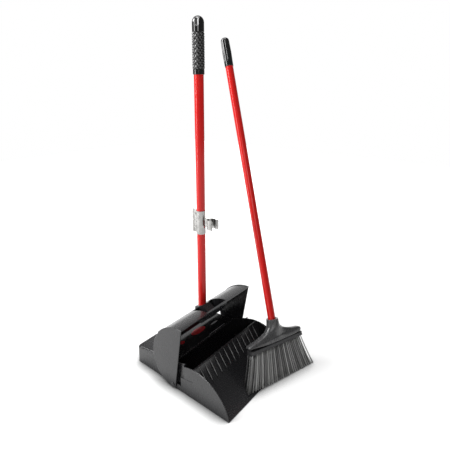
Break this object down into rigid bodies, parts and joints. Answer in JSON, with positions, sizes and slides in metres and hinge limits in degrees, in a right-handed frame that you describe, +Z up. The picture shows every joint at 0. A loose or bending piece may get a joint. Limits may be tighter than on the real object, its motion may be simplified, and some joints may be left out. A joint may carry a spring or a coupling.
{
  "type": "lobby dust pan and broom set",
  "caption": "Upright dust pan with a rear bin, a pivoting hood on a long handle with a broom clip, and a long-handled broom standing at its mouth.",
  "frame": {"origin": "on the floor straight below the hood pivot, half way across the pan", "axes": "+X across the pan (towards the side where the broom stands), -Y towards the mouth and its lip, +Y towards the rear bin, +Z up along the pan handle"},
  "size_m": [0.374, 0.434, 0.947],
  "materials": {
    "pan_black": "injection-moulded, satin to glossy black",
    "hood_black": "injection-moulded, satin to glossy black",
    "label_print": "plain red label film without any text",
    "pin_black": "moulded black pin, satin",
    "ring_steel": "spring steel",
    "handle_red": "glossy red lacquer on steel tube",
    "grip_black": "soft-touch black, dimpled",
    "clip_steel": "bright plated spring steel sheet",
    "rivet_steel": "plated steel",
    "screw_steel": "zinc-plated steel",
    "broom_black": "satin black moulding",
    "insert_grey": "plain polypropylene",
    "bristle_grey": "flagged dark grey synthetic filament"
  },
  "bodies": {
    "pan": {"pan_tray": "pan_black", "bin_cover": "pan_black", "cover_label": "label_print", "pivot_pin_left": "pin_black", "pivot_pin_right": "pin_black", "pivot_retainer_left": "ring_steel", "pivot_retainer_right": "ring_steel"},
    "hood_and_handle": {"hood": "hood_black", "pan_handle_tube": "handle_red", "socket_screw": "screw_steel", "pan_grip": "grip_black", "broom_clip": "clip_steel", "clip_rivets": "rivet_steel"},
    "broom": {"broom_tube": "handle_red", "broom_thread_insert": "insert_grey", "broom_end_cap": "grip_black", "broom_head_cap": "broom_black", "broom_block": "broom_black", "bristle_row_1": "bristle_grey", "bristle_row_2": "bristle_grey", "bristle_row_3": "bristle_grey", "bristle_row_4": "bristle_grey", "bristle_row_5": "bristle_grey"}
  },
  "joints": [
    {"name": "hood_close", "type": "hinge", "parent": "pan", "child": "hood_and_handle", "pos_m": [0, 0, 0.012], "axis": [1, 0, 0], "range_deg": [0, 80]},
    {"name": "broom_away", "type": "slide", "parent": "pan", "child": "broom", "axis": [0.5011, -0.8419, 0.2004], "range_m": [0, 0.365]}
  ],
  "couplings": [
    {"joint": "broom_away", "follows": "hood_close", "m_per_rad": 0.26}
  ]
}
